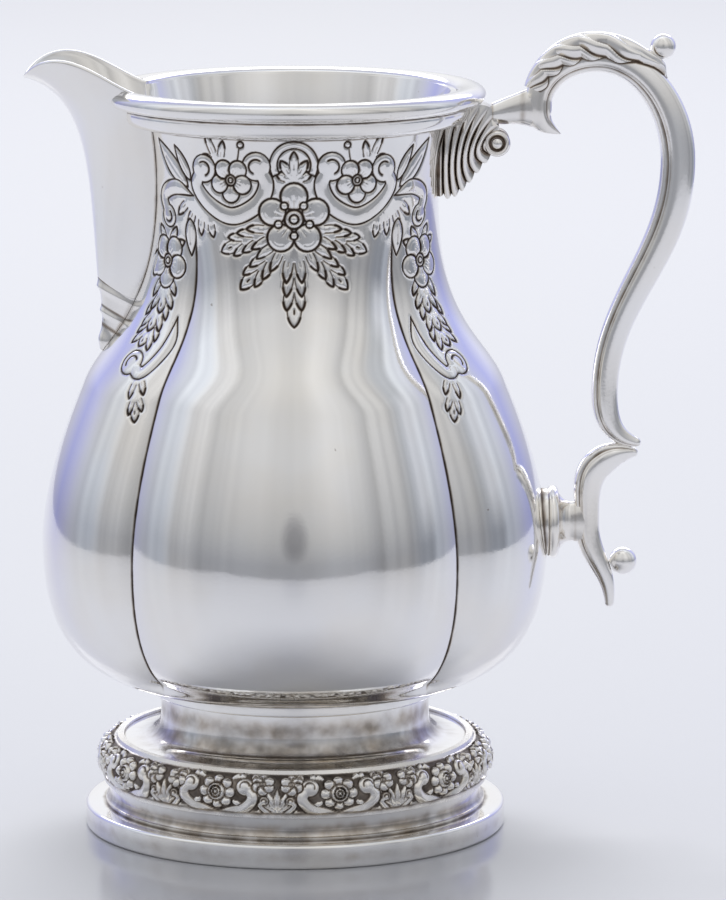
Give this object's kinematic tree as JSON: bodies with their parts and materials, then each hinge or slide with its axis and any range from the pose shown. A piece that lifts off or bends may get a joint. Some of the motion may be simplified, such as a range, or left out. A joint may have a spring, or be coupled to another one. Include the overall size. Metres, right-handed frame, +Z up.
{
  "type": "cream jug",
  "caption": "Pear-shaped lobed cream jug on a stepped round foot, with an applied spout, a moulded rim and a double-scroll handle with a leaf thumbpiece.",
  "frame": {"origin": "centre of the base ring's underside, on the table", "axes": "+Z up the axis of the jug, -X to the spout, +X to the handle, -Y to the side shown in the picture"},
  "size_m": [0.0999, 0.0758, 0.12],
  "materials": {
    "polished_silver": "polished silver with fine handling scratches",
    "chased_silver": "polished silver with chased lines darkened by patina",
    "relief_silver": "raised silver ornament over a dark patinated ground",
    "cast_silver": "cast silver, polished on the high parts with patina in the hollows"
  },
  "bodies": {
    "root": {"body": "chased_silver", "rim_moulding": "polished_silver", "spout": "polished_silver", "spout_drop": "cast_silver", "shell_mount": "cast_silver", "upper_stem": "cast_silver", "handle_scroll": "cast_silver", "thumb_leaf": "cast_silver", "thumb_bead": "cast_silver", "lower_scroll": "cast_silver", "lower_bead": "cast_silver", "lower_stem": "cast_silver", "lower_collar": "cast_silver", "foot_collar": "polished_silver", "foot_trumpet": "polished_silver", "foot_band": "relief_silver", "foot_plinth": "polished_silver", "foot_ring": "polished_silver"}
  },
  "joints": []
}
